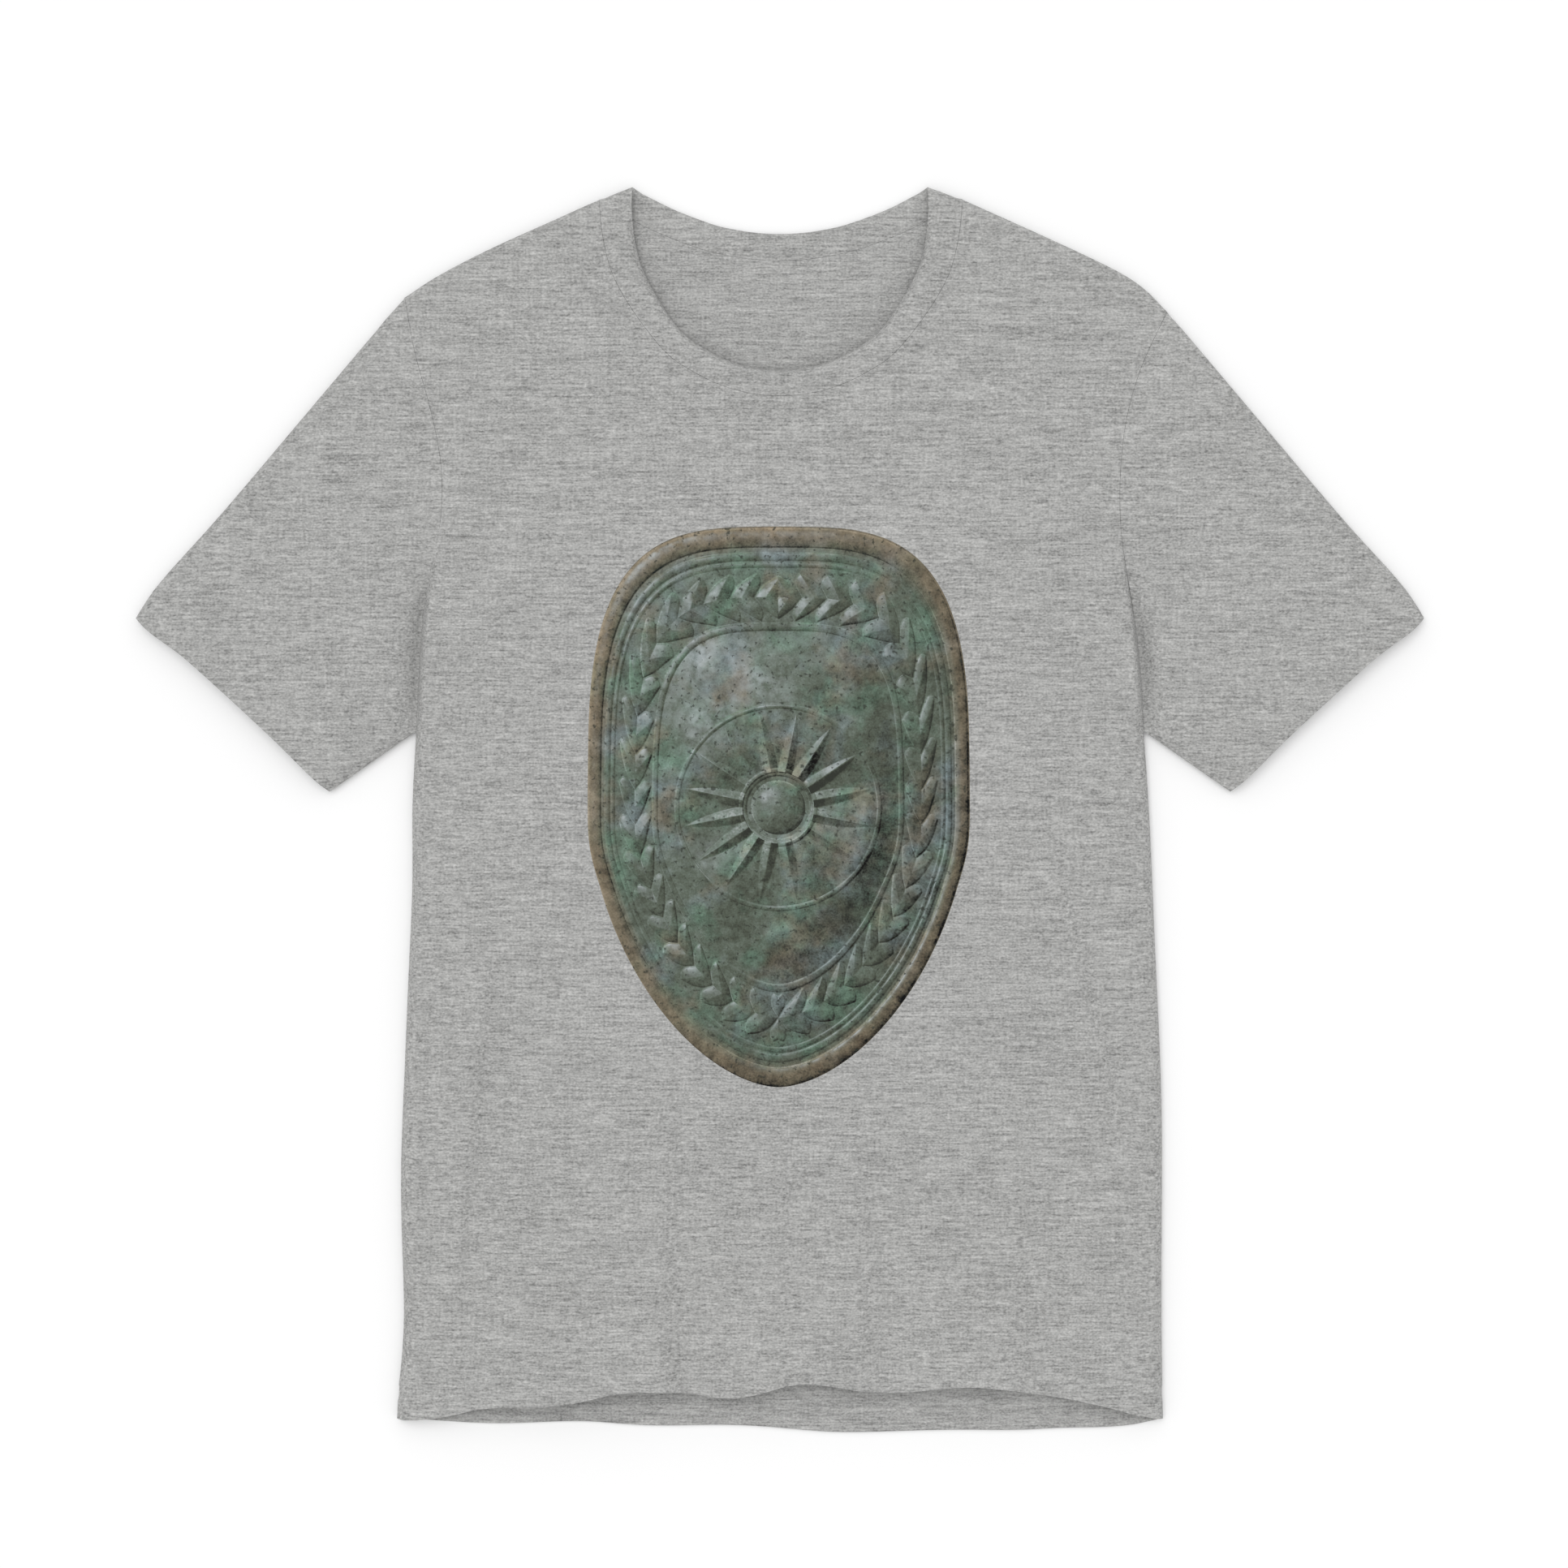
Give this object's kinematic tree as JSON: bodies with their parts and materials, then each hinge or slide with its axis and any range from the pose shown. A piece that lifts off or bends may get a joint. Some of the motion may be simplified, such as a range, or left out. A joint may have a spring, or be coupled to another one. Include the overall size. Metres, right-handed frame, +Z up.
{
  "type": "crew-neck t-shirt",
  "caption": "Short-sleeved crew-neck T-shirt of heather grey jersey, lying flat on its back, hollow and open at neck, hem and cuffs.",
  "frame": {"origin": "on the table that the shirt lies on, under the middle of its outline", "axes": "+X across the shirt to the wearer's left, from cuff to cuff; +Y along it from hem to neck; +Z up from the table, out of the shirt's front"},
  "size_m": [0.7362, 0.7113, 0.0138],
  "materials": {
    "jersey": "matt heather grey single jersey",
    "neckband_jersey": "matt heather grey jersey, doubled"
  },
  "bodies": {
    "root": {"front_panel": "jersey", "back_panel": "jersey", "sleeve_left": "jersey", "sleeve_right": "jersey", "neckband": "neckband_jersey"}
  },
  "joints": []
}
